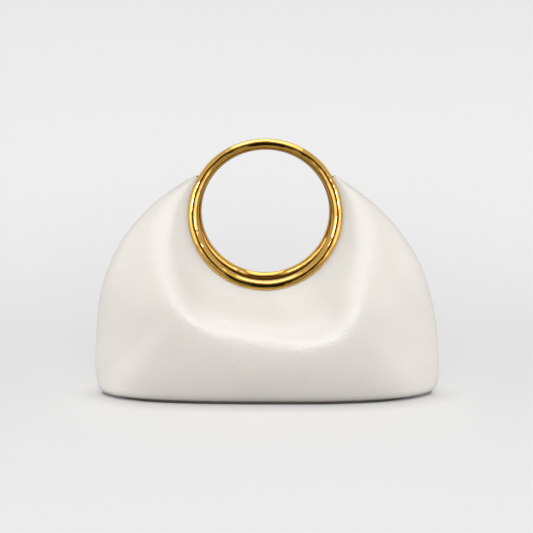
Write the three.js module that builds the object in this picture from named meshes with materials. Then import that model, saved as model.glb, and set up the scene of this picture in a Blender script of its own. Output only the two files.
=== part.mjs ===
// A half-moon handbag: two soft leather panels gathered onto a pair of round
// metal ring handles, sewn together along the sides and standing on a flat
// lens-shaped leather base.  Millimetres, +Z up, the front faces -Y.
// The origin is the middle of the base's underside.
import * as THREE from 'three';

// ---- driving dimensions (millimetres, degrees) ----
const LEATHER = 2.0;             // wall thickness of the panels
const SKIVED = 1.0;              // thinned where the leather ends at the rings
const SKIVE_RUN = 9;             // degrees round the ring over which it thins
const GAP = 0.3;                 // clearance kept between neighbouring pieces
const BASE_THICKNESS = 2.4;      // base leather, two layers pressed together
const BASE_MARGIN = 0.3;         // the base edge shows this far past the panels
const BASE_BEVEL = 0.5;
const RING_RADIUS = 60.8;        // centre line of the tube
const TUBE_RADIUS = 4.6;
const RING_LEAN = 14;            // each ring leans inwards at the top
const RING_TOP_HALF_GAP = 7.0;   // tube centre to the middle plane, at the top
const RING_HEIGHT = 157.6;       // centre of the ring above the floor
const SLOT_DEPTH = 2.0;          // groove in the tube that takes the leather's rim
const SLOT_FLARE = 1.0;          // the groove opens this much wider each way at its mouth
const SLOT_END = 128;            // groove runs this far either way from the bottom
const ATTACH_END = 120.5;        // leather is attached this far either way

// The bag's outline seen from the front: distance from the ring's centre at each
// angle from straight down, on the left and on the right.  The first rows lie
// below the base, which cuts the round form off flat.
//   turn: how far the leather runs straight forwards off the outline before it bends
const OUTLINE = [
  { angle: 0, left: 194.0, right: 194.0, turn: 43.5 },
  { angle: 9, left: 198.4, right: 196.6, turn: 43.5 },
  { angle: 17, left: 203.7, right: 201.3, turn: 45 },
  { angle: 25, left: 209.9, right: 207.2, turn: 44.7 },
  { angle: 33, left: 216.4, right: 213.7, turn: 41.3 },
  { angle: 39, left: 220.0, right: 218.9, turn: 32 },
  { angle: 43, left: 212.8, right: 215.4, turn: 18.5 },
  { angle: 45, left: 207, right: 211.7, turn: 11 },
  { angle: 47, left: 202.5, right: 207.2, turn: 8 },
  { angle: 50, left: 193, right: 196.8, turn: 8.5 },
  { angle: 54, left: 181.7, right: 185, turn: 9.5 },
  { angle: 59, left: 169.8, right: 171.6, turn: 12.5 },
  { angle: 65, left: 157.2, right: 156.6, turn: 18.5 },
  { angle: 72, left: 141.2, right: 140.3, turn: 25.5 },
  { angle: 80, left: 124.1, right: 121.9, turn: 27 },
  { angle: 88, left: 108.2, right: 105.4, turn: 24 },
  { angle: 95, left: 96.1, right: 93.5, turn: 20 },
  { angle: 102, left: 85.4, right: 83.1, turn: 16.5 },
  { angle: 108, left: 78.2, right: 76.4, turn: 12 },
  { angle: 113, left: 73.1, right: 71.9, turn: 8 },
  { angle: 118, left: 68, right: 67.6, turn: 6.5 },
  { angle: 120.5, left: 66.4, right: 66.3, turn: 6 },
];

// The fold that runs round the ring, one row for each radial section.
//   angle: from straight down, positive to the right
//   fold_radius: distance of the fold from the ring's centre, seen from the front
//   fold_depth: how far the fold stands in front of the middle plane
//   in_soft, out_soft: how slowly the leather turns on the ring's and the outline's side
//   rim_run, rim_lift: how far it leaves the ring outwards and forwards
const SECTIONS = [
  { angle: -120.5, fold_radius: 66.8, fold_depth: 15.2, in_soft: 1.0, out_soft: 0.5, rim_run: 1.4, rim_lift: 0 },
  { angle: -111, fold_radius: 70.6, fold_depth: 18.6, in_soft: 2.6, out_soft: 2.2, rim_run: 3.5, rim_lift: 1.2 },
  { angle: -99, fold_radius: 80.3, fold_depth: 25.0, in_soft: 8.5, out_soft: 8.5, rim_run: 9, rim_lift: 5 },
  { angle: -84, fold_radius: 88.7, fold_depth: 33.8, in_soft: 13.4, out_soft: 19, rim_run: 13, rim_lift: 7.5 },
  { angle: -66, fold_radius: 99.5, fold_depth: 45.2, in_soft: 15.9, out_soft: 22, rim_run: 16, rim_lift: 7.5 },
  { angle: -49, fold_radius: 105.5, fold_depth: 55.9, in_soft: 16.5, out_soft: 21.5, rim_run: 18.5, rim_lift: 7.5 },
  { angle: -33, fold_radius: 106.5, fold_depth: 58.5, in_soft: 12, out_soft: 13, rim_run: 21.5, rim_lift: 6 },
  { angle: -17, fold_radius: 103.9, fold_depth: 58.5, in_soft: 14.8, out_soft: 18.5, rim_run: 20.5, rim_lift: 6 },
  { angle: 0, fold_radius: 105.6, fold_depth: 58.5, in_soft: 17.8, out_soft: 23, rim_run: 21.5, rim_lift: 5.5 },
  { angle: 17, fold_radius: 114.5, fold_depth: 58.5, in_soft: 16, out_soft: 16, rim_run: 22, rim_lift: 3.5 },
  { angle: 31, fold_radius: 117.6, fold_depth: 58.5, in_soft: 15, out_soft: 10.5, rim_run: 20.4, rim_lift: 4.8 },
  { angle: 44, fold_radius: 111.7, fold_depth: 58.0, in_soft: 18.5, out_soft: 15, rim_run: 14.5, rim_lift: 6.5 },
  { angle: 62, fold_radius: 99.6, fold_depth: 47.2, in_soft: 18.3, out_soft: 24, rim_run: 10, rim_lift: 5.5 },
  { angle: 79, fold_radius: 89.5, fold_depth: 36.2, in_soft: 15.8, out_soft: 20, rim_run: 9.5, rim_lift: 5.5 },
  { angle: 99, fold_radius: 80.8, fold_depth: 24.8, in_soft: 8.8, out_soft: 5.2, rim_run: 8.5, rim_lift: 4.5 },
  { angle: 111, fold_radius: 70.3, fold_depth: 18.4, in_soft: 2.5, out_soft: 2, rim_run: 3.2, rim_lift: 1 },
  { angle: 120.5, fold_radius: 66.8, fold_depth: 15.2, in_soft: 1.0, out_soft: 0.5, rim_run: 1.4, rim_lift: 0 },
];

// The foot of each panel is drawn in under the bag, rounding its lower edge.
const DRAW_HEIGHT = 8.5;         // starts this far above the floor
const DRAW = 3.2;                // and comes this far in at the base
const SPINE = 104;               // half length of the line it is drawn towards

// Mesh fineness
const STEPS = { base_half: 9, side: 18, inner: 6, outer: 9, ring: 48, tube: 10, base: 12 };

const rad = THREE.MathUtils.degToRad;
const vec = (x, y, z) => new THREE.Vector3(x, y, z);

// Smooth curve through one column of a table that never overshoots its rows.
function column(rows, key, value) {
  const x = rows.map((r) => r[key]);
  const y = rows.map((r) => r[value]);
  const n = x.length;
  const slope = [];
  for (let i = 0; i < n - 1; i++) slope.push((y[i + 1] - y[i]) / (x[i + 1] - x[i]));
  const m = [slope[0]];
  for (let i = 1; i < n - 1; i++) {
    const a = slope[i - 1], b = slope[i];
    if (a * b <= 0) { m.push(0); continue; }
    const h0 = x[i] - x[i - 1], h1 = x[i + 1] - x[i];
    const w0 = 2 * h1 + h0, w1 = h1 + 2 * h0;
    m.push((w0 + w1) / (w0 / a + w1 / b));
  }
  m.push(slope[n - 2]);
  return (t) => {
    let i = 0;
    while (i < n - 2 && t > x[i + 1]) i++;
    const h = x[i + 1] - x[i];
    const s = THREE.MathUtils.clamp((t - x[i]) / h, 0, 1);
    const s2 = s * s, s3 = s2 * s;
    return (2 * s3 - 3 * s2 + 1) * y[i] + (s3 - 2 * s2 + s) * h * m[i]
      + (3 * s2 - 2 * s3) * y[i + 1] + (s3 - s2) * h * m[i + 1];
  };
}

const FLAP_Z = BASE_THICKNESS + GAP;    // the panels' lower edge stands here
const outlineRows = [
  ...OUTLINE.slice(1).reverse().map((r) => ({ angle: -r.angle, radius: r.left, turn: r.turn })),
  ...OUTLINE.map((r) => ({ angle: r.angle, radius: r.right, turn: r.turn })),
];
const outlineRadius = column(outlineRows, 'angle', 'radius');
const outlineTurn = column(outlineRows, 'angle', 'turn');
const fold = {};
for (const key of ['fold_radius', 'fold_depth', 'in_soft', 'out_soft', 'rim_run', 'rim_lift']) {
  fold[key] = column(SECTIONS, 'angle', key);
}
const outlineHeight = (angle) => RING_HEIGHT - outlineRadius(angle) * Math.cos(rad(angle));
const CORNER = { left: cornerAngle(-1), right: cornerAngle(1) };  // where the side seams reach the base

function cornerAngle(side) {
  let low = 0, high = 60;
  for (let i = 0; i < 50; i++) {
    const mid = (low + high) / 2;
    if (outlineHeight(side * mid) < FLAP_Z) low = mid; else high = mid;
  }
  return low;
}

function drawIn(p) {
  const s = THREE.MathUtils.clamp((DRAW_HEIGHT - p.z) / (DRAW_HEIGHT - FLAP_Z), 0, 1);
  const dx = THREE.MathUtils.clamp(p.x, -SPINE, SPINE) - p.x;
  const far = Math.max(Math.hypot(dx, p.y), 1e-6);
  const pull = Math.min(DRAW * (1 - Math.sqrt(1 - 0.985 * s * s)), 0.8 * far);
  return vec(p.x + (dx / far) * pull, p.y * (1 - pull / far), p.z);
}

// ---- the ring's own frame (front ring) ----
const lean = rad(RING_LEAN);
const ringDown = vec(0, -Math.sin(lean), -Math.cos(lean));
const ringFront = vec(0, -Math.cos(lean), Math.sin(lean));
const ringCentre = vec(0, -(RING_TOP_HALF_GAP + RING_RADIUS * Math.sin(lean)), RING_HEIGHT);
const ringRadial = (angle) => vec(1, 0, 0).multiplyScalar(Math.sin(rad(angle)))
  .addScaledVector(ringDown, Math.cos(rad(angle)));

// ---- a point on the panel's outside: run 0 is the ring's rim, 1 the fold, 2 the outline ----
function panelPoint(angle, run) {
  const a = rad(angle);
  const out = vec(Math.sin(a), 0, -Math.cos(a));
  const ridge = vec(0, -fold.fold_depth(angle), RING_HEIGHT).addScaledVector(out, fold.fold_radius(angle));
  if (run <= 1) {
    const rim = ringCentre.clone()
      .addScaledVector(ringRadial(angle), RING_RADIUS + TUBE_RADIUS - SLOT_DEPTH + GAP)
      .addScaledVector(ringFront, LEATHER / 2);
    const c1 = rim.clone().addScaledVector(ringRadial(angle), fold.rim_run(angle))
      .add(vec(0, -fold.rim_lift(angle), 0));
    const c2 = ridge.clone().addScaledVector(out, -fold.in_soft(angle));
    return drawIn(new THREE.CubicBezierCurve3(rim, c1, c2, ridge).getPoint(run));
  }
  const edge = vec(0, -GAP / 2, RING_HEIGHT).addScaledVector(out, outlineRadius(angle));
  const c1 = ridge.clone().addScaledVector(out, fold.out_soft(angle));
  const c2 = edge.clone().add(vec(0, -outlineTurn(angle), 0));
  return drawIn(new THREE.CubicBezierCurve3(ridge, c1, c2, edge).getPoint(run - 1));
}

function panelNormal(angle, run) {
  const da = 0.05, dr = 0.004;
  const a0 = Math.max(-ATTACH_END, angle - da), a1 = Math.min(ATTACH_END, angle + da);
  const r0 = Math.max(0, run - dr), r1 = Math.min(2, run + dr);
  const along = panelPoint(a1, run).sub(panelPoint(a0, run));
  const outward = panelPoint(angle, r1).sub(panelPoint(angle, r0));
  return outward.cross(along).normalize();
}

// the leather is pared thinner towards the tips of its rim
function thickness(angle) {
  return SKIVED + (LEATHER - SKIVED) * THREE.MathUtils.smoothstep(ATTACH_END - Math.abs(angle), 0, SKIVE_RUN);
}

// The run at which a section stops: at the outline, or where it comes down to the base.
function lastRun(angle) {
  if (angle >= CORNER.right || angle <= -CORNER.left) return 2;
  let low = 1, high = 2;
  for (let i = 0; i < 50; i++) {
    const mid = (low + high) / 2;
    if (panelPoint(angle, mid).z > FLAP_Z) low = mid; else high = mid;
  }
  return low;
}

function sectionAngles() {
  const half = (corner) => {
    const list = [];
    for (let i = 0; i <= STEPS.base_half; i++) list.push(corner * Math.sin((i / STEPS.base_half) * Math.PI / 2));
    for (let i = 1; i <= STEPS.side; i++) list.push(corner + (ATTACH_END - corner) * (i / STEPS.side) ** 1.35);
    return list;
  };
  return [...half(CORNER.left).slice(1).reverse().map((a) => -a), ...half(CORNER.right)];
}

// closer together towards the outline and the base
function sectionRuns(angle) {
  const runs = [], end = lastRun(angle);
  for (let i = 0; i < STEPS.inner; i++) runs.push(i / STEPS.inner);
  for (let i = 0; i <= STEPS.outer; i++) runs.push(1 + (end - 1) * (1 - (1 - i / STEPS.outer) ** 1.35));
  return runs;
}

// A leather panel: an outside sheet, an inside sheet one thickness in, and the
// four cut edges between them.  The back panel is the front one mirrored.
function panelGeometry(mirrored) {
  const angles = sectionAngles();
  const I = angles.length, J = STEPS.inner + STEPS.outer + 1;
  const pos = [], index = [];
  for (const side of [0, 1]) {
    for (const angle of angles) {
      for (const run of sectionRuns(angle)) {
        const p = panelPoint(angle, run).addScaledVector(panelNormal(angle, run), -thickness(angle) * side);
        // the cut edges lie on the middle plane and on the base
        const y = Math.min(p.y, -GAP / 2);
        pos.push(p.x, mirrored ? -y : y, Math.max(p.z, FLAP_Z));
      }
    }
  }
  const o = (i, j) => i * J + j;
  const n = (i, j) => I * J + i * J + j;
  const quad = (a, b, c, d) => (mirrored ? index.push(a, c, b, a, d, c) : index.push(a, b, c, a, c, d));
  for (let i = 0; i < I - 1; i++) {
    for (let j = 0; j < J - 1; j++) {
      quad(o(i, j), o(i, j + 1), o(i + 1, j + 1), o(i + 1, j));
      quad(n(i, j), n(i + 1, j), n(i + 1, j + 1), n(i, j + 1));
    }
    quad(o(i, 0), o(i + 1, 0), n(i + 1, 0), n(i, 0));
    quad(o(i + 1, J - 1), o(i, J - 1), n(i, J - 1), n(i + 1, J - 1));
  }
  for (let j = 0; j < J - 1; j++) {
    quad(o(0, j + 1), o(0, j), n(0, j), n(0, j + 1));
    quad(o(I - 1, j), o(I - 1, j + 1), n(I - 1, j + 1), n(I - 1, j));
  }
  const g = new THREE.BufferGeometry();
  g.setAttribute('position', new THREE.Float32BufferAttribute(pos, 3));
  g.setIndex(index);
  g.computeVertexNormals();
  return g;
}

// A ring handle: a round tube bent to a circle, with a groove on its outer side
// along the stretch where the leather is held.
function ringGeometry() {
  const slotHalf = LEATHER / 2 + GAP;
  const mouth = Math.asin((slotHalf + SLOT_FLARE) / TUBE_RADIUS);
  const pos = [], index = [];
  const profile = (grooved) => {
    const pts = [];
    for (let k = 0; k <= STEPS.tube; k++) {
      const f = mouth + (2 * Math.PI - 2 * mouth) * (k / STEPS.tube);
      pts.push([TUBE_RADIUS * Math.cos(f), TUBE_RADIUS * Math.sin(f)]);
    }
    const floor = TUBE_RADIUS - SLOT_DEPTH;
    const f = mouth / 3;
    if (grooved) pts.push([floor, -slotHalf], [floor, slotHalf]);
    else pts.push([TUBE_RADIUS * Math.cos(f), -TUBE_RADIUS * Math.sin(f)], [TUBE_RADIUS * Math.cos(f), TUBE_RADIUS * Math.sin(f)]);
    return pts;
  };
  let count = 0;
  for (let i = 0; i < STEPS.ring; i++) {
    const angle = -180 + (360 * i) / STEPS.ring;
    const radial = ringRadial(angle);
    const pts = profile(Math.abs(angle) < SLOT_END);
    count = pts.length;
    for (const [r, a] of pts) {
      const p = ringCentre.clone().addScaledVector(radial, RING_RADIUS + r).addScaledVector(ringFront, a);
      pos.push(p.x, p.y, p.z);
    }
  }
  for (let i = 0; i < STEPS.ring; i++) {
    const i1 = (i + 1) % STEPS.ring;
    for (let k = 0; k < count; k++) {
      const k1 = (k + 1) % count;
      const a = i * count + k, b = i1 * count + k, c = i1 * count + k1, d = i * count + k1;
      index.push(a, b, c, a, c, d);
    }
  }
  const g = new THREE.BufferGeometry();
  g.setAttribute('position', new THREE.Float32BufferAttribute(pos, 3));
  g.setIndex(index);
  g.computeVertexNormals();
  return g;
}

// The base: a flat plate of leather with eased edges, cut to the line where the
// two panels come down, plus a small margin.
function baseGeometry() {
  const front = [];
  for (let i = -STEPS.base; i <= STEPS.base; i++) {
    const angle = (i < 0 ? CORNER.left : CORNER.right) * Math.sin((i / STEPS.base) * Math.PI / 2);
    const p = panelPoint(angle, lastRun(angle));
    front.push(new THREE.Vector2(p.x, Math.abs(i) === STEPS.base ? 0 : p.y));
  }
  const back = front.slice(1, -1).reverse().map((p) => new THREE.Vector2(p.x, -p.y));
  const ring = [...front, ...back];
  const n = ring.length;
  const grow = BASE_MARGIN - BASE_BEVEL;
  const outline = new THREE.Shape(ring.map((p, i) => {
    const t = ring[(i + 1) % n].clone().sub(ring[(i + n - 1) % n]).normalize();
    return new THREE.Vector2(p.x + t.y * grow, p.y - t.x * grow);
  }));
  const g = new THREE.ExtrudeGeometry(outline, {
    depth: BASE_THICKNESS - 2 * BASE_BEVEL,
    bevelEnabled: true,
    bevelThickness: BASE_BEVEL,
    bevelSize: BASE_BEVEL,
    bevelSegments: 1,
    steps: 1,
  });
  g.translate(0, 0, BASE_BEVEL);
  return g;
}

function leather(name, geometry) {
  const m = new THREE.Mesh(geometry, new THREE.MeshStandardMaterial({ color: 0xefeae0, roughness: 0.48, metalness: 0.0 }));
  m.name = name;
  return m;
}

function gold(name, geometry) {
  const m = new THREE.Mesh(geometry, new THREE.MeshStandardMaterial({ color: 0xd9a441, roughness: 0.12, metalness: 1.0 }));
  m.name = name;
  return m;
}

const bag = new THREE.Group();
const backHandle = new THREE.Group();
backHandle.add(gold('back_ring', ringGeometry()));
backHandle.rotation.z = Math.PI;
bag.add(
  leather('front_panel', panelGeometry(false)),
  leather('back_panel', panelGeometry(true)),
  leather('base_panel', baseGeometry()),
  gold('front_ring', ringGeometry()),
  backHandle,
);

export default bag;
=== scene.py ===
import math

import bpy
import numpy as np
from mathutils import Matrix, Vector


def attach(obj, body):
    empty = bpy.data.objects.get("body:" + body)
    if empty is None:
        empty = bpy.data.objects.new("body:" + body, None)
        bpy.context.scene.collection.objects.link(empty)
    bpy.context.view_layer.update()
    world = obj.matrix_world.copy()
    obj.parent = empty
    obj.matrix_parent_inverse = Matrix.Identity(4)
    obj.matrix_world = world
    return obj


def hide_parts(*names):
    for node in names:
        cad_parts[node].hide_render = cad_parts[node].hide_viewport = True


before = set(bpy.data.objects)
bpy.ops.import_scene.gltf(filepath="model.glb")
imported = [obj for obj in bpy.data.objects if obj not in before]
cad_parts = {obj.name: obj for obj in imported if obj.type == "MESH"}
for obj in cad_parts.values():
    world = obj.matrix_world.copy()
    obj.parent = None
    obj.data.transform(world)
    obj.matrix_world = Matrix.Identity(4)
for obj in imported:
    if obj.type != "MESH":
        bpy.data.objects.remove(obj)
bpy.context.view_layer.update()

MM = 0.001

# ------------------------------------------------------------------ sizes (millimetres, degrees)
LEATHER = 2.0
SKIVED, SKIVE_RUN = 1.0, 9.0
GAP = 0.3
BASE_THICKNESS = 2.4
BASE_MARGIN = 0.3
RING_RADIUS = 60.8
TUBE_RADIUS = 4.6
RING_LEAN = 14.0
RING_TOP_HALF_GAP = 7.0
RING_HEIGHT = 157.6
SLOT_DEPTH = 2.0
SLOT_FLARE = 1.0
SLOT_END = 128.0
ATTACH_END = 119.0
FLAP_Z = BASE_THICKNESS + GAP
EDGE_ROUND = 0.9          # the turned leather edges are rounded to this

# The outline seen from the front: angle from straight down, distance from the
# ring's centre on the left and on the right, and how far the leather runs
# forwards off it before it bends.
OUTLINE = np.array([
    # angle, left, right, turn
    (0, 194.0, 194.0, 43.5),
    (9, 198.4, 196.6, 43.5),
    (17, 203.7, 201.3, 45),
    (25, 209.9, 207.2, 44.7),
    (33, 216.4, 213.7, 41.3),
    (39, 220.0, 218.9, 32),
    (43, 212.8, 215.4, 18.5),
    (45, 207, 211.7, 11),
    (47, 202.5, 207.2, 8),
    (50, 193, 196.8, 8.5),
    (54, 181.7, 185, 9.5),
    (59, 169.8, 171.6, 12.5),
    (65, 157.2, 156.6, 18.5),
    (72, 141.2, 140.3, 25.5),
    (80, 124.1, 121.9, 27),
    (88, 108.2, 105.4, 24),
    (95, 96.1, 93.5, 20),
    (102, 85.4, 83.1, 16.5),
    (108, 78.2, 76.4, 12),
    (113, 73.1, 71.9, 8),
    (118, 68, 67.6, 6.5),
    (120.5, 66.4, 66.3, 6)], float)

# The fold round the ring, a row for each radial section.
SECTIONS = np.array([
    # angle, fold_radius, fold_depth, in_soft, out_soft, rim_run, rim_lift
    (-120.5, 66.8, 15.2, 1, 0.5, 1.4, 0),
    (-111, 70.6, 18.6, 2.6, 2.2, 3.5, 1.2),
    (-99, 80.3, 25.0, 8.5, 8.5, 9, 5),
    (-84, 88.7, 33.8, 13.4, 19, 13, 7.5),
    (-66, 99.5, 45.2, 15.9, 22, 16, 7.5),
    (-49, 105.5, 55.9, 16.5, 21.5, 18.5, 7.5),
    (-33, 106.5, 58.5, 12, 13, 21.5, 6),
    (-17, 103.9, 58.5, 14.8, 18.5, 20.5, 6),
    (0, 105.6, 58.5, 17.8, 23, 21.5, 5.5),
    (17, 114.5, 58.5, 16, 16, 22, 3.5),
    (31, 117.6, 58.5, 15, 10.5, 20.4, 4.8),
    (44, 111.7, 58.0, 18.5, 15, 14.5, 6.5),
    (62, 99.6, 47.2, 18.3, 24, 10, 5.5),
    (79, 89.5, 36.2, 15.8, 20, 9.5, 5.5),
    (99, 80.8, 24.8, 8.8, 5.2, 8.5, 4.5),
    (111, 70.3, 18.4, 2.5, 2, 3.2, 1),
    (120.5, 66.8, 15.2, 1, 0.5, 1.4, 0)], float)

# The foot of each panel is drawn in under the bag.
DRAW_HEIGHT = 8.5
DRAW = 3.2
SPINE = 104.0


# ------------------------------------------------------------------ smooth columns
def pchip(x, y):
    """A smooth curve through the rows that never overshoots them."""
    n = len(x)
    h = np.diff(x)
    d = np.diff(y) / h
    m = np.zeros(n)
    m[0], m[-1] = d[0], d[-1]
    for i in range(1, n - 1):
        if d[i - 1] * d[i] > 0:
            w0, w1 = 2 * h[i] + h[i - 1], h[i] + 2 * h[i - 1]
            m[i] = (w0 + w1) / (w0 / d[i - 1] + w1 / d[i])

    def at(t):
        t = np.asarray(t, float)
        i = np.clip(np.searchsorted(x, t) - 1, 0, n - 2)
        s = np.clip((t - x[i]) / h[i], 0, 1)
        s2, s3 = s * s, s * s * s
        return ((2 * s3 - 3 * s2 + 1) * y[i] + (s3 - 2 * s2 + s) * h[i] * m[i]
                + (3 * s2 - 2 * s3) * y[i + 1] + (s3 - s2) * h[i] * m[i + 1])
    return at


def softened(x, y, sigma):
    """The same curve with its bends eased over about sigma degrees."""
    f = pchip(x, y)
    step = 0.25
    t = np.arange(x[0], x[-1] + step / 2, step)
    v = f(t)
    pad = int(4 * sigma / step)
    left = 2 * v[0] - v[1:pad + 1][::-1]
    right = 2 * v[-1] - v[-pad - 1:-1][::-1]
    k = np.exp(-0.5 * (np.arange(-pad, pad + 1) * step / sigma) ** 2)
    v2 = np.convolve(np.concatenate([left, v, right]), k / k.sum(), "valid")
    return lambda q: np.interp(q, t, v2)


LEFT = OUTLINE[:0:-1]
BOTH = np.concatenate([np.stack([-LEFT[:, 0], LEFT[:, 1], LEFT[:, 3]], 1), OUTLINE[:, [0, 2, 3]]])
outline_radius = softened(BOTH[:, 0], BOTH[:, 1], 0.8)
outline_turn = softened(BOTH[:, 0], BOTH[:, 2], 2.0)
fold_radius, fold_depth, in_soft, out_soft, rim_run, rim_lift = (
    softened(SECTIONS[:, 0], SECTIONS[:, c], 3.0) for c in range(1, 7))

LEAN = math.radians(RING_LEAN)
RING_DOWN = np.array([0, -math.sin(LEAN), -math.cos(LEAN)])
RING_FRONT = np.array([0, -math.cos(LEAN), math.sin(LEAN)])
RING_CENTRE = np.array([0, -(RING_TOP_HALF_GAP + RING_RADIUS * math.sin(LEAN)), RING_HEIGHT])
X_AXIS = np.array([1.0, 0, 0])


def ring_radial(angle):
    a = np.radians(np.asarray(angle, float))[..., None]
    return np.sin(a) * X_AXIS + np.cos(a) * RING_DOWN


def bezier(p0, p1, p2, p3, t):
    t = t[..., None]
    u = 1 - t
    return u ** 3 * p0 + 3 * u * u * t * p1 + 3 * u * t * t * p2 + t ** 3 * p3


def draw_in(p):
    s = np.clip((DRAW_HEIGHT - p[..., 2]) / (DRAW_HEIGHT - FLAP_Z), 0, 1)
    dx, dy = np.clip(p[..., 0], -SPINE, SPINE) - p[..., 0], -p[..., 1]
    far = np.maximum(np.hypot(dx, dy), 1e-6)
    pull = np.minimum(DRAW * (1 - np.sqrt(1 - 0.985 * s * s)), 0.8 * far)
    q = p.copy()
    q[..., 0] += dx / far * pull
    q[..., 1] += dy / far * pull
    return q


def panel_point(angle, run):
    """Outside of the front panel: run 0 is the ring's rim, 1 the fold, 2 the outline."""
    angle, run = np.broadcast_arrays(np.asarray(angle, float), np.asarray(run, float))
    a = np.radians(angle)
    out = np.stack([np.sin(a), np.zeros_like(a), -np.cos(a)], -1)
    centre = np.array([0, 0, RING_HEIGHT])
    forward = np.array([0, -1.0, 0])
    ridge = centre + out * fold_radius(angle)[..., None] + forward * fold_depth(angle)[..., None]
    radial = ring_radial(angle)
    rim = RING_CENTRE + radial * (RING_RADIUS + TUBE_RADIUS - SLOT_DEPTH + GAP) + RING_FRONT * (LEATHER / 2)
    inner = bezier(rim, rim + radial * rim_run(angle)[..., None] + forward * rim_lift(angle)[..., None],
                   ridge - out * in_soft(angle)[..., None], ridge, np.clip(run, 0, 1))
    edge = centre + out * outline_radius(angle)[..., None] + forward * (GAP / 2)
    outer = bezier(ridge, ridge + out * out_soft(angle)[..., None],
                   edge + forward * outline_turn(angle)[..., None], edge, np.clip(run - 1, 0, 1))
    return draw_in(np.where((run <= 1)[..., None], inner, outer))


def panel_normal(angle, run):
    a0 = np.clip(angle - 0.05, -ATTACH_END, ATTACH_END)
    a1 = np.clip(angle + 0.05, -ATTACH_END, ATTACH_END)
    r0, r1 = np.clip(run - 0.004, 0, 2), np.clip(run + 0.004, 0, 2)
    n = np.cross(panel_point(angle, r1) - panel_point(angle, r0), panel_point(a1, run) - panel_point(a0, run))
    return n / np.linalg.norm(n, axis=-1, keepdims=True)


def corner_angle(side):
    low, high = 0.0, 60.0
    for _ in range(50):
        mid = (low + high) / 2
        if RING_HEIGHT - float(outline_radius(side * mid)) * math.cos(math.radians(mid)) < FLAP_Z:
            low = mid
        else:
            high = mid
    return low


CORNER_LEFT, CORNER_RIGHT = corner_angle(-1), corner_angle(1)


def last_run(angles):
    """The run at which each section stops: at the outline, or where it comes down to the base."""
    low, high = np.ones_like(angles), np.full_like(angles, 2.0)
    for _ in range(45):
        mid = (low + high) / 2
        above = panel_point(angles, mid)[..., 2] > FLAP_Z
        low, high = np.where(above, mid, low), np.where(above, high, mid)
    return np.where((angles >= CORNER_RIGHT) | (angles <= -CORNER_LEFT), 2.0, low)


# ------------------------------------------------------------------ mesh helpers
def new_object(name, verts, faces, slots=None):
    me = bpy.data.meshes.new(name)
    me.from_pydata([tuple(v) for v in np.asarray(verts)], [], faces)
    if slots is not None:
        me.polygons.foreach_set("material_index", np.asarray(slots, np.int32))
    me.polygons.foreach_set("use_smooth", np.ones(len(me.polygons), bool))
    me.update()
    ob = bpy.data.objects.new(name, me)
    bpy.context.scene.collection.objects.link(ob)
    return ob


def smooth_noise(p, seed, size):
    """Slow, smooth waves for the leather's softness: a few crossed sines."""
    rng = np.random.default_rng(seed)
    total = np.zeros(p.shape[:-1])
    for _ in range(7):
        k = rng.normal(size=3)
        k *= (2 * math.pi / size) * rng.uniform(0.7, 1.4) / np.linalg.norm(k)
        total += np.sin(p @ k + rng.uniform(0, 2 * math.pi))
    return total / 7 ** 0.5


# ------------------------------------------------------------------ leather panels
def panel_angles():
    def half(corner):
        nb, ns = 64, 92
        a = list(corner * np.sin(np.linspace(0, 1, nb + 1) * math.pi / 2))
        a += list(corner + (ATTACH_END - 1.2 - corner) * (np.linspace(0, 1, ns + 1)[1:] ** 1.25))
        a += [ATTACH_END - d for d in (0.72, 0.46, 0.24, 0.1, 0.03, 0.0)]
        return np.array(a)
    return np.concatenate([-half(CORNER_LEFT)[:0:-1], half(CORNER_RIGHT)])


def panel_grid():
    angles = panel_angles()
    ends = last_run(angles)
    n_in, n_out = 34, 52
    tail = np.array([0.9, 0.62, 0.38, 0.18, 0.06, 0.0]) * EDGE_ROUND / 0.9
    t = np.linspace(0, 1, 241)
    runs, from_edge = [], []
    for a, e in zip(angles, ends):
        w_in = np.linspace(0, 1, n_in + 1)[:-1]
        w = 1 + (e - 1) * t
        p = panel_point(np.full_like(w, a), w)
        s = np.concatenate([[0], np.cumsum(np.linalg.norm(np.diff(p, axis=0), axis=1))])
        total = s[-1]
        stations = np.concatenate([np.linspace(0, total - 1.25, n_out + 1), total - tail])
        w_out = np.interp(stations, s, w)
        p_in = panel_point(np.full_like(w_in, a), w_in)
        s_in = np.concatenate([np.cumsum(np.linalg.norm(np.diff(p_in, axis=0), axis=1)[::-1])[::-1], [0]])
        runs.append(np.concatenate([w_in, w_out]))
        from_edge.append(np.concatenate([s_in + total, total - stations]))
    return angles, np.array(runs), np.array(from_edge)


def eased(p, n, runs, rounds=15):
    """The fold's crest rounded a little more along each section, as thick soft leather turns."""
    k = np.clip((runs - 0.45) / 0.3, 0, 1) * np.clip((1.6 - runs) / 0.3, 0, 1)
    k = (k * k * (3 - 2 * k))[..., None]
    q = p.copy()
    for _ in range(rounds):
        before = np.linalg.norm(q[:, 1:-1] - q[:, :-2], axis=-1, keepdims=True)
        after = np.linalg.norm(q[:, 2:] - q[:, 1:-1], axis=-1, keepdims=True)
        between = (after * q[:, :-2] + before * q[:, 2:]) / (before + after)
        q[:, 1:-1] += 0.5 * k[:, 1:-1] * (between - q[:, 1:-1])
    m = np.cross(np.gradient(q, axis=1), np.gradient(q, axis=0))
    m /= np.maximum(np.linalg.norm(m, axis=-1, keepdims=True), 1e-9)
    w = np.clip(4 * k, 0, 1)
    m = n * (1 - w) + m * w
    return q, m / np.linalg.norm(m, axis=-1, keepdims=True)


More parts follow.
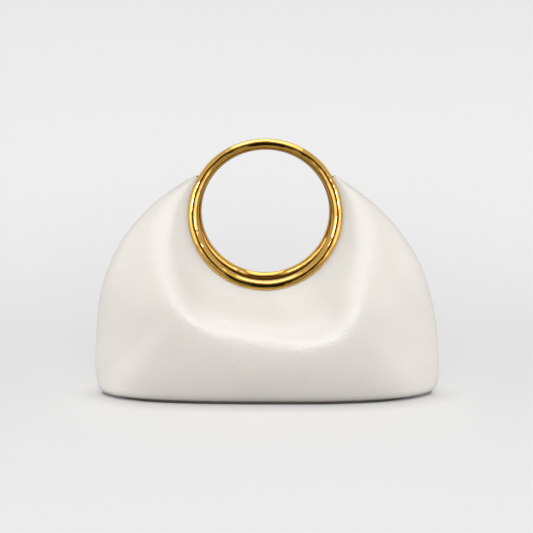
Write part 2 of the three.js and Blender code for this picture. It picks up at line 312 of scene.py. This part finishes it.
def build_panel(name, mirrored):
    angles, runs, from_edge = panel_grid()
    I, J = runs.shape
    A = np.repeat(angles[:, None], J, 1)
    P = panel_point(A, runs)
    P, N = eased(P, panel_normal(A, runs), runs)
    from_tip = (ATTACH_END - np.abs(A)) * math.pi / 180 * np.linalg.norm(
        P[..., [0, 2]] - np.array([0, RING_HEIGHT]), axis=-1)
    near = np.minimum(from_edge, from_tip)
    d = np.clip(near / EDGE_ROUND, 0, 1)
    k = np.clip((ATTACH_END - np.abs(A)) / SKIVE_RUN, 0, 1)
    thick = SKIVED + (LEATHER - SKIVED) * k * k * (3 - 2 * k)
    roll = (thick / 2) * (1 - np.sqrt(np.clip(1 - (1 - d) ** 2, 0, 1)))
    # the leather's softness: slow shallow waves that die out at the ring and the seams
    fade = np.clip(near / 14, 0, 1) * np.clip((runs - 0.25) / 0.5, 0, 1)
    soft = (0.30 * smooth_noise(P, 11, 62) + 0.08 * smooth_noise(P, 12, 27)) * fade
    # small puckers drawn in by the side and base seams
    pucker = 0.10 * np.sin(np.cumsum(np.linalg.norm(np.diff(P[:, -1], axis=0, prepend=P[:1, -1]), axis=1))[:, None]
                           * 2 * math.pi / 7.5) * np.exp(-((from_edge - 3.2) / 2.2) ** 2) * np.clip(from_tip / 20, 0, 1)
    outer = P + N * (soft + pucker - roll)[..., None]
    inner = P + N * (soft + pucker - thick + roll)[..., None]
    both = [outer, inner]
    for q in both:
        q[..., 1] = np.minimum(q[..., 1], -GAP / 2)
        q[..., 2] = np.maximum(q[..., 2], FLAP_Z)
    verts = np.concatenate([q.reshape(-1, 3) for q in both]) * MM
    if mirrored:
        verts = verts * np.array([1, -1, 1])

    def o(i, j):
        return i * J + j

    def n(i, j):
        if j == J - 1 or i == 0 or i == I - 1:
            return i * J + j
        return I * J + i * J + j

    faces, slots = [], []

    def add(q, slot):
        q = [v for k, v in enumerate(q) if v != q[k - 1]]
        if len(set(q)) >= 3:
            faces.append(q)
            slots.append(slot)

    for i in range(I - 1):
        for j in range(J - 1):
            add([o(i, j), o(i, j + 1), o(i + 1, j + 1), o(i + 1, j)], 0)
            add([n(i, j), n(i + 1, j), n(i + 1, j + 1), n(i, j + 1)], 1)
        add([o(i, 0), o(i + 1, 0), n(i + 1, 0), n(i, 0)], 0)
    used = sorted({v for f in faces for v in f})
    place = {v: k for k, v in enumerate(used)}
    turn = -1 if mirrored else 1
    ob = new_object(name, verts[used], [[place[v] for v in f][::turn] for f in faces], slots)
    # painted shade, a little darker: close to the ring, more faintly in the hollow at its sides, and
    # along the foot
    from_rim = np.linalg.norm(P - P[:, :1], axis=-1)
    aside = np.clip((np.abs(A) - 25) / 40, 0, 1) * np.clip((2.0 - runs) / 0.5, 0, 1)
    hollow = np.clip((0.93 - runs) / 0.5, 0, 1)
    painted_shade = 0.75 * np.exp(-(from_rim / 6.5) ** 2) + 0.62 * aside * hollow * hollow * (3 - 2 * hollow)
    z = P[..., 2]
    painted_shade += (0.85 * np.exp(-(z / 9) ** 2) + 0.40 * np.exp(-(z / 28) ** 2)) * np.clip((118 - np.abs(P[..., 0])) / 40, 0, 1)
    # and painted shade on both sides of the fold
    above = np.clip((0.97 - runs) / 0.18, 0, 1)
    below = np.clip((runs - 1.05) / 0.25, 0, 1)
    painted_shade += above * (0.42 * np.exp(-((A - 28) / 15) ** 2)
                     + 0.65 * np.exp(-((A + 45) / 14) ** 2) * np.clip((runs - 0.2) / 0.3, 0, 1)
                     * np.clip((0.95 - runs) / 0.2, 0, 1))
    painted_shade += 0.50 * below * below * (3 - 2 * below) * np.exp(-((P[..., 0] - 8) / 56) ** 2)
    painted_shade = np.concatenate([painted_shade.ravel(), np.zeros(painted_shade.size)])[used]
    ob.data.attributes.new("painted_shade", "FLOAT", "POINT").data.foreach_set("value", painted_shade.astype(np.float32))
    return ob


# ------------------------------------------------------------------ base
def base_outline(count):
    f = np.linspace(-1, 1, count + 1)
    a = np.where(f < 0, CORNER_LEFT, CORNER_RIGHT) * np.sin(f * math.pi / 2)
    p = panel_point(a, last_run(a))[:, :2]
    p[0, 1] = p[-1, 1] = 0
    ring = np.concatenate([p, p[-2:0:-1] * [1, -1]])
    t = np.roll(ring, -1, 0) - np.roll(ring, 1, 0)
    t /= np.linalg.norm(t, axis=1, keepdims=True)
    return ring, np.stack([t[:, 1], -t[:, 0]], 1)


def build_base():
    ring, normal = base_outline(150)
    n = len(ring)
    k = np.clip((np.abs(ring[:, :1]) - 92) / 46, 0, 1)
    foot = ring * np.concatenate([1 - 0.11 * k * k * (3 - 2 * k), np.ones((n, 1))], 1)
    lip, under_rise, under_run = 0.45, 1.5, 2.6
    rows = []
    # underside from the middle out, up round the drawn-in lower edge, over the lip and back
    for k in np.linspace(0.08, 1, 9):
        rows.append((foot * k + normal * (BASE_MARGIN - under_run) * k, 0.0))
    for f in np.linspace(0, math.pi / 2, 8)[1:]:
        g = 1 - math.cos(f)
        rows.append((foot + (ring - foot) * g + normal * (BASE_MARGIN - under_run + under_run * math.sin(f)), under_rise * g))
    for f in np.linspace(0, math.pi / 2, 5):
        rows.append((ring + normal * (BASE_MARGIN - lip + lip * math.cos(f)), BASE_THICKNESS - lip + lip * math.sin(f)))
    edge = range(9, len(rows))                   # the cut edge, painted near-black as a contact shadow
    for k in np.linspace(1, 0.08, 9)[1:]:
        rows.append((ring * k + normal * (BASE_MARGIN - lip) * k, BASE_THICKNESS))
    verts = [np.concatenate([xy, np.full((n, 1), z)], 1) for xy, z in rows]
    verts = np.concatenate(verts + [np.array([[0, 0, 0.0], [0, 0, BASE_THICKNESS]])]) * MM
    faces, slots = [], []
    for k in range(len(rows) - 1):
        for i in range(n):
            j = (i + 1) % n
            faces.append([k * n + i, k * n + j, (k + 1) * n + j, (k + 1) * n + i][::-1])
            slots.append(1 if k + 1 in edge else 0)
    low, high = len(rows) * n, len(rows) * n + 1
    last = (len(rows) - 1) * n
    for i in range(n):
        j = (i + 1) % n
        faces.append([low, j, i])
        faces.append([high, last + i, last + j])
        slots += [0, 0]
    ob = new_object("base_leather_plate", verts, faces, slots)
    me = ob.data
    import bmesh
    bm = bmesh.new()
    bm.from_mesh(me)
    bmesh.ops.recalc_face_normals(bm, faces=bm.faces)
    bm.to_mesh(me)
    bm.free()
    return ob


# ------------------------------------------------------------------ rings
def build_ring(name, turned):
    slot_half = LEATHER / 2 + GAP
    lip = slot_half + SLOT_FLARE
    mouth = math.asin(lip / TUBE_RADIUS)
    seg, tube = 384, 44
    angles = -180 + 360 * np.arange(seg) / seg
    f = np.linspace(mouth, 2 * math.pi - mouth, tube + 1)
    circle = np.stack([TUBE_RADIUS * np.cos(f), TUBE_RADIUS * np.sin(f)], 1)
    floor = TUBE_RADIUS - SLOT_DEPTH
    # groove: lip, wall, floor, wall, lip
    g = np.linspace(-1, 1, 9)[1:-1]
    plain = np.stack([TUBE_RADIUS * np.cos(g * mouth), TUBE_RADIUS * np.sin(g * mouth)], 1)
    wall, edge = slot_half, TUBE_RADIUS * math.cos(mouth) - 0.12
    groove = np.array([(edge, -lip * 0.97), (floor + 0.45, -wall), (floor, -wall * 0.75), (floor, 0),
                       (floor, wall * 0.75), (floor + 0.45, wall), (edge, lip * 0.97)])
    verts = []
    for a in angles:
        k = np.clip((SLOT_END - abs(a)) / 2.0, 0, 1)
        k = k * k * (3 - 2 * k)
        prof = np.concatenate([circle, plain * (1 - k) + groove * k])
        verts.append(RING_CENTRE + ring_radial(a) * (RING_RADIUS + prof[:, :1]) + RING_FRONT * prof[:, 1:])
    verts = np.array(verts)
    count = verts.shape[1]
    verts = verts.reshape(-1, 3) * MM
    if turned:
        verts = verts * np.array([-1, -1, 1])
    faces = []
    for i in range(seg):
        i1 = (i + 1) % seg
        for k in range(count):
            k1 = (k + 1) % count
            faces.append([i * count + k, i1 * count + k, i1 * count + k1, i * count + k1])
    return new_object(name, verts, faces)


# ------------------------------------------------------------------ materials
def material(name):
    m = bpy.data.materials.new(name)
    m.use_nodes = True
    t = m.node_tree
    t.nodes.clear()
    out = t.nodes.new("ShaderNodeOutputMaterial")
    bsdf = t.nodes.new("ShaderNodeBsdfPrincipled")
    t.links.new(bsdf.outputs["BSDF"], out.inputs["Surface"])
    return m, t, bsdf


def coords(t):
    return t.nodes.new("ShaderNodeTexCoord").outputs["Object"]


def noise(t, vec, scale, detail=3.0, rough=0.55, distortion=0.0):
    n = t.nodes.new("ShaderNodeTexNoise")
    n.inputs["Scale"].default_value = scale
    n.inputs["Detail"].default_value = detail
    n.inputs["Roughness"].default_value = rough
    n.inputs["Distortion"].default_value = distortion
    t.links.new(vec, n.inputs["Vector"])
    return n.outputs["Fac"]


def voronoi(t, vec, scale, feature="F1"):
    n = t.nodes.new("ShaderNodeTexVoronoi")
    n.feature = feature
    n.inputs["Scale"].default_value = scale
    t.links.new(vec, n.inputs["Vector"])
    return n.outputs["Distance"]


def ramp(t, fac, stops):
    n = t.nodes.new("ShaderNodeValToRGB")
    e = n.color_ramp.elements
    while len(e) > 1:
        e.remove(e[-1])
    for k, (pos, col) in enumerate(stops):
        s = e[0] if k == 0 else e.new(pos)
        s.position = pos
        s.color = (*col, 1) if not isinstance(col, float) else (col, col, col, 1)
    t.links.new(fac, n.inputs["Fac"])
    return n.outputs["Color"]


def math_node(t, op, a, b=None):
    n = t.nodes.new("ShaderNodeMath")
    n.operation = op
    for k, v in enumerate((a, b)):
        if v is None:
            continue
        if isinstance(v, (int, float)):
            n.inputs[k].default_value = v
        else:
            t.links.new(v, n.inputs[k])
    return n.outputs[0]


def bump(t, height, strength, distance, normal=None):
    n = t.nodes.new("ShaderNodeBump")
    n.inputs["Strength"].default_value = strength
    n.inputs["Distance"].default_value = distance
    t.links.new(height, n.inputs["Height"])
    if normal is not None:
        t.links.new(normal, n.inputs["Normal"])
    return n.outputs["Normal"]


def mixed(t, fac, a, b, mode="MIX"):
    n = t.nodes.new("ShaderNodeMix")
    n.data_type = "RGBA"
    n.blend_type = mode
    if isinstance(fac, (int, float)):
        n.inputs["Factor"].default_value = fac
    else:
        t.links.new(fac, n.inputs["Factor"])
    for sock, v in ((n.inputs[6], a), (n.inputs[7], b)):
        if isinstance(v, tuple):
            sock.default_value = (*v, 1)
        else:
            t.links.new(v, sock)
    return n.outputs[2]


def leather_material(name, light, dark, rough_low, rough_high, grain):
    m, t, bsdf = material(name)
    vec = coords(t)
    tone = noise(t, vec, 9.0, 4.0, 0.6)
    colour = ramp(t, tone, [(0.3, dark), (0.7, light)])
    fine = noise(t, vec, 900.0, 2.0, 0.6)
    colour = mixed(t, 0.09, colour, ramp(t, fine, [(0.35, 0.72), (0.65, 1.0)]), "MULTIPLY")
    # painted shade: the attribute mixes in a darker colour near the rings, in the hollows, by the fold and along the
    # foot
    painted_shade = t.nodes.new("ShaderNodeAttribute")
    painted_shade.attribute_name = "painted_shade"
    colour = mixed(t, math_node(t, "MULTIPLY", painted_shade.outputs["Fac"], 0.22), colour, (0.42, 0.385, 0.335))
    t.links.new(colour, bsdf.inputs["Base Color"])
    r = noise(t, vec, 26.0, 3.0, 0.6)
    t.links.new(ramp(t, r, [(0.3, float(rough_low)), (0.7, float(rough_high))]), bsdf.inputs["Roughness"])
    cells = voronoi(t, vec, 980.0, "SMOOTH_F1")
    pores = noise(t, vec, 1500.0, 2.0, 0.5)
    h = math_node(t, "ADD", math_node(t, "MULTIPLY", cells, 0.8), math_node(t, "MULTIPLY", pores, 0.35))
    slow = noise(t, vec, 130.0, 3.0, 0.55)
    pebble = voronoi(t, vec, 430.0, "SMOOTH_F1")
    n1 = bump(t, slow, 0.10 * grain, 0.0012)
    n2 = bump(t, pebble, 0.12 * grain, 0.0012, n1)
    n2 = bump(t, h, 0.30 * grain, 0.0005, n2)
    t.links.new(n2, bsdf.inputs["Normal"])
    bsdf.inputs["Specular IOR Level"].default_value = 0.8
    return m


def suede_material(name):
    m, t, bsdf = material(name)
    vec = coords(t)
    tone = noise(t, vec, 38.0, 5.0, 0.65)
    t.links.new(ramp(t, tone, [(0.3, (0.60, 0.53, 0.43)), (0.7, (0.70, 0.63, 0.53))]), bsdf.inputs["Base Color"])
    nap = noise(t, vec, 1600.0, 4.0, 0.7)
    t.links.new(bump(t, nap, 0.5, 0.0006), bsdf.inputs["Normal"])
    bsdf.inputs["Roughness"].default_value = 0.92
    bsdf.inputs["Specular IOR Level"].default_value = 0.15
    bsdf.inputs["Sheen Weight"].default_value = 0.25
    return m


def gold_material(name):
    m, t, bsdf = material(name)
    vec = coords(t)
    bsdf.inputs["Metallic"].default_value = 1.0
    tone = noise(t, vec, 34.0, 3.0, 0.5)
    t.links.new(ramp(t, tone, [(0.3, (0.80, 0.455, 0.090)), (0.7, (0.86, 0.515, 0.115))]), bsdf.inputs["Base Color"])
    smear = noise(t, vec, 120.0, 4.0, 0.6, 0.6)
    t.links.new(ramp(t, smear, [(0.3, 0.055), (0.75, 0.13)]), bsdf.inputs["Roughness"])
    wave = noise(t, vec, 55.0, 1.5, 0.4)
    scratch = noise(t, vec, 2200.0, 2.0, 0.5)
    n1 = bump(t, wave, 0.42, 0.004)
    n1 = bump(t, noise(t, vec, 170.0, 1.0, 0.4), 0.05, 0.002, n1)
    n2 = bump(t, scratch, 0.02, 0.0002, n1)
    t.links.new(n2, bsdf.inputs["Normal"])
    return m


def floor_material(name):
    m, t, bsdf = material(name)
    vec = coords(t)
    tone = noise(t, vec, 1.3, 2.0, 0.5)
    t.links.new(ramp(t, tone, [(0.3, (0.59, 0.59, 0.59)), (0.7, (0.61, 0.61, 0.61))]), bsdf.inputs["Base Color"])
    bsdf.inputs["Roughness"].default_value = 0.9
    bsdf.inputs["Specular IOR Level"].default_value = 0.05
    # lit from beneath like a light table, a little more towards the back
    bsdf.inputs["Emission Color"].default_value = (1, 1, 1, 1)
    place = t.nodes.new("ShaderNodeSeparateXYZ")
    t.links.new(vec, place.inputs[0])
    glow = t.nodes.new("ShaderNodeMapRange")
    glow.interpolation_type = "SMOOTHSTEP"
    for key, value in (("From Min", -0.2), ("From Max", 1.7), ("To Min", 0.385), ("To Max", 0.475)):
        glow.inputs[key].default_value = value
    t.links.new(place.outputs["Y"], glow.inputs["Value"])
    # painted shadow: the floor's glow is dimmed by ambient occlusion next to the bag, a contact shadow in the emission
    covered = t.nodes.new("ShaderNodeAmbientOcclusion")
    covered.samples = 16
    covered.inputs["Distance"].default_value = 0.028
    shaded = math_node(t, "ADD", math_node(t, "MULTIPLY", covered.outputs["AO"], 0.85), 0.15)
    t.links.new(math_node(t, "MULTIPLY", glow.outputs["Result"], shaded), bsdf.inputs["Emission Strength"])
    return m


LEATHER_MAT = leather_material("ivory_leather", (0.845, 0.812, 0.750), (0.818, 0.785, 0.722), 0.285, 0.36, 1.0)
BASE_MAT = leather_material("ivory_base_leather", (0.80, 0.765, 0.70), (0.74, 0.705, 0.64), 0.48, 0.62, 1.4)
# near-black base edge: a painted contact shadow where the bag meets the floor
PAINTED_SHADOW_EDGE_MAT = leather_material("painted_shadow_edge", (0.034, 0.029, 0.024), (0.020, 0.017, 0.014), 0.55, 0.7, 0.8)
SUEDE_MAT = suede_material("raw_leather_inside")


def fade_at_ends(m, colour, start, stop):
    """Paler towards the two ends of the base: the painted shadow turns to a grey painted shadow."""
    t = m.node_tree
    socket = next(n for n in t.nodes if n.type == "BSDF_PRINCIPLED").inputs["Base Color"]
    place = t.nodes.new("ShaderNodeSeparateXYZ")
    t.links.new(coords(t), place.inputs[0])
    fade = t.nodes.new("ShaderNodeMapRange")
    fade.interpolation_type = "SMOOTHSTEP"
    for key, value in (("From Min", start), ("From Max", stop), ("To Min", 0.0), ("To Max", 1.0)):
        fade.inputs[key].default_value = value
    t.links.new(math_node(t, "ABSOLUTE", place.outputs["X"]), fade.inputs["Value"])
    t.links.new(mixed(t, fade.outputs["Result"], socket.links[0].from_socket, colour), socket)


# towards the base's ends the painted shadow edge becomes a soft grey painted shadow
fade_at_ends(PAINTED_SHADOW_EDGE_MAT, (0.24, 0.225, 0.205), 0.112, 0.138)
GOLD_MAT = gold_material("polished_gold")

# ------------------------------------------------------------------ the object
front_leather = build_panel("front_leather", False)
back_leather = build_panel("back_leather", True)
for ob, node in ((front_leather, "front_panel"), (back_leather, "back_panel")):
    ob.data.materials.append(LEATHER_MAT)
    ob.data.materials.append(SUEDE_MAT)
    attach(ob, "root")
    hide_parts(node)

base = build_base()
base.data.materials.append(BASE_MAT)
base.data.materials.append(PAINTED_SHADOW_EDGE_MAT)
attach(base, "root")
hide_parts("base_panel")

rings = []
for name, node, turned in (("front_gold_ring", "front_ring", False), ("back_gold_ring", "back_ring", True)):
    ob = build_ring(name, turned)
    rings.append(ob)
    ob.data.materials.append(GOLD_MAT)
    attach(ob, "root")
    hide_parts(node)


# ------------------------------------------------------------------ floor and backdrop in one sweep
def build_sweep():
    # flat floor, then one gentle bend into a slope that fills the picture behind
    prof = [(-3.2, 0.0), (0.35, 0.0)]
    slope, radius = math.radians(34), 1.3
    for f in np.linspace(0, slope, 25)[1:]:
        prof.append((0.35 + radius * math.sin(f), radius - radius * math.cos(f)))
    y, z = prof[-1]
    prof.append((y + 3.0 * math.cos(slope), z + 3.0 * math.sin(slope)))
    xs = np.linspace(-4.5, 4.5, 13)
    verts = [(x, y, z) for (y, z) in prof for x in xs]
    n = len(xs)
    faces = [[k * n + i, k * n + i + 1, (k + 1) * n + i + 1, (k + 1) * n + i]
             for k in range(len(prof) - 1) for i in range(n - 1)]
    ob = new_object("floor_sweep", verts, faces)
    ob.data.materials.append(floor_material("pale_floor"))
    ob.visible_diffuse = False
    ob.visible_glossy = False
    ob.visible_shadow = False
    return ob


sweep = build_sweep()


# ------------------------------------------------------------------ light
def area(name, place, aim, size, power, colour=(1, 1, 1)):
    d = bpy.data.lights.new(name, "AREA")
    d.shape = "RECTANGLE"
    d.size, d.size_y = size
    d.energy = power
    d.color = colour
    ob = bpy.data.objects.new(name, d)
    ob.location = place
    ob.rotation_euler = (Vector(aim) - Vector(place)).to_track_quat("-Z", "Y").to_euler()
    bpy.context.scene.collection.objects.link(ob)
    return ob


def light_only(lamp, things):
    group = bpy.data.collections.new(lamp.name + "_lights")
    for ob in things:
        group.objects.link(ob)
    lamp.light_linking.receiver_collection = group


low = area("front_low_softbox", (0, -2.2, 0.25), (0, 0, 0.1), (1.2, 0.5), 15.7)
high = area("front_high_softbox", (0, -1.7, 1.2), (0, 0, 0.1), (1.6, 0.9), 12.5)
sides = [area("left_softbox", (-1.66, -0.52, 0.42), (0, 0, 0.1), (1.2, 0.8), 1.9),
         area("right_softbox", (1.66, -0.52, 0.42), (0, 0, 0.1), (1.2, 0.8), 2.0),
         area("left_side_softbox", (-1.75, 0.05, 0.30), (0, 0, 0.1), (1.2, 0.8), 3.6),
         area("right_side_softbox", (1.75, 0.05, 0.30), (0, 0, 0.1), (1.2, 0.8), 4.0)]
for lamp in sides:
    lamp.visible_glossy = False
# the same soft light for the back
for name, place, size, power in (("back_low_softbox", (0, 2.2, 0.25), (1.2, 0.5), 14.0),
                                 ("back_high_softbox", (0, 1.7, 1.2), (1.6, 0.9), 11.0)):
    light_only(area(name, place, (0, 0, 0.1), size, power), [back_leather])
for lamp in (low, high):
    light_only(lamp, [front_leather, back_leather, base, sweep])
# a broad screen at each side and a small bright strip, for the metal
ROSE, COOL = (1.0, 0.84, 1.0), (1.0, 0.92, 1.8)
for side, name in ((-1, "left_strip"), (1, "right_strip")):
    light_only(area(name, (side * 0.85, -1.25, 1.05), (0, 0, 0.12), (0.30, 0.16), 1.9, COOL), rings)
    light_only(area(name.replace("strip", "screen"), (side * 1.1, -0.9, 0.5), (0, 0, 0.15), (1.0, 1.1), 4.6, ROSE), rings)
light_only(area("top_screen", (0, 0.05, 1.5), (0, 0, 0.15), (1.1, 1.5), 8.2, ROSE), rings)
light_only(area("top_strip", (0, -0.3, 1.3), (0, 0, 0.12), (0.55, 0.10), 1.7, COOL), rings)

# soft surroundings
world = bpy.data.worlds.new("studio")
world.use_nodes = True
wt = world.node_tree
background = wt.nodes["Background"]
background.inputs["Color"].default_value = (1, 1, 1, 1)
towards = wt.nodes.new("ShaderNodeTexCoord").outputs["Generated"]
direction = wt.nodes.new("ShaderNodeSeparateXYZ")
wt.links.new(towards, direction.inputs[0])


def shade(source, low, high, first, last):
    n = wt.nodes.new("ShaderNodeMapRange")
    n.interpolation_type = "SMOOTHSTEP"
    for key, value in (("From Min", low), ("From Max", high), ("To Min", first), ("To Max", last)):
        n.inputs[key].default_value = value
    wt.links.new(source, n.inputs["Value"])
    return n.outputs["Result"]


up = direction.outputs["Z"]
sideways = math_node(wt, "ABSOLUTE", direction.outputs["X"])
# for the shading: even from above, and the pale floor out at both sides
table = math_node(wt, "MULTIPLY", shade(sideways, 0.6, 0.9, 0.0, 1.6),
                  math_node(wt, "MULTIPLY", shade(up, -0.75, -0.3, 0.0, 1.0), shade(up, 0.0, 0.2, 1.0, 0.0)))
even = math_node(wt, "ADD", shade(up, -0.35, 0.25, 0.0, 0.40), table)
# for reflections: brighter above, and in front the unlit end of the room, which the metal shows
# as a thin dark line
front = math_node(wt, "MULTIPLY", direction.outputs["Y"], -1.0)


def both(*parts):
    total = parts[0]
    for part in parts[1:]:
        total = math_node(wt, "MULTIPLY", total, part)
    return total


unlit = both(shade(sideways, 0.15, 0.30, 0.97, 0.0), shade(front, 0.3, 0.6, 0.0, 1.0),
             shade(up, -0.66, -0.4, 0.0, 1.0), shade(up, 0.5, 0.72, 1.0, 0.0))
seen = both(shade(up, -0.3, 0.5, 0.38, 0.68), math_node(wt, "SUBTRACT", 1.0, unlit))
pick = wt.nodes.new("ShaderNodeMix")
wt.links.new(wt.nodes.new("ShaderNodeLightPath").outputs["Is Glossy Ray"], pick.inputs["Factor"])
wt.links.new(even, pick.inputs["A"])
wt.links.new(seen, pick.inputs["B"])
wt.links.new(pick.outputs["Result"], background.inputs["Strength"])
bpy.context.scene.world = world
bpy.context.scene.view_settings.view_transform = "Standard"
bpy.context.scene.view_settings.look = "None"

# ------------------------------------------------------------------ camera
IMAGE = 533
FOCAL_PX = 1044.7
cam_data = bpy.data.cameras.new("camera")
cam_data.sensor_width = 36.0
cam_data.sensor_fit = "HORIZONTAL"
cam_data.lens = FOCAL_PX / IMAGE * 36.0
cam_data.clip_start = 0.05
cam = bpy.data.objects.new("camera", cam_data)
cam.location = (0.0010, -0.900, 0.1925)
cam.rotation_euler = (Vector((0.0010, 0, 0.1115)) - cam.location).to_track_quat("-Z", "Y").to_euler()
bpy.context.scene.collection.objects.link(cam)
bpy.context.scene.camera = cam

bpy.context.view_layer.update()
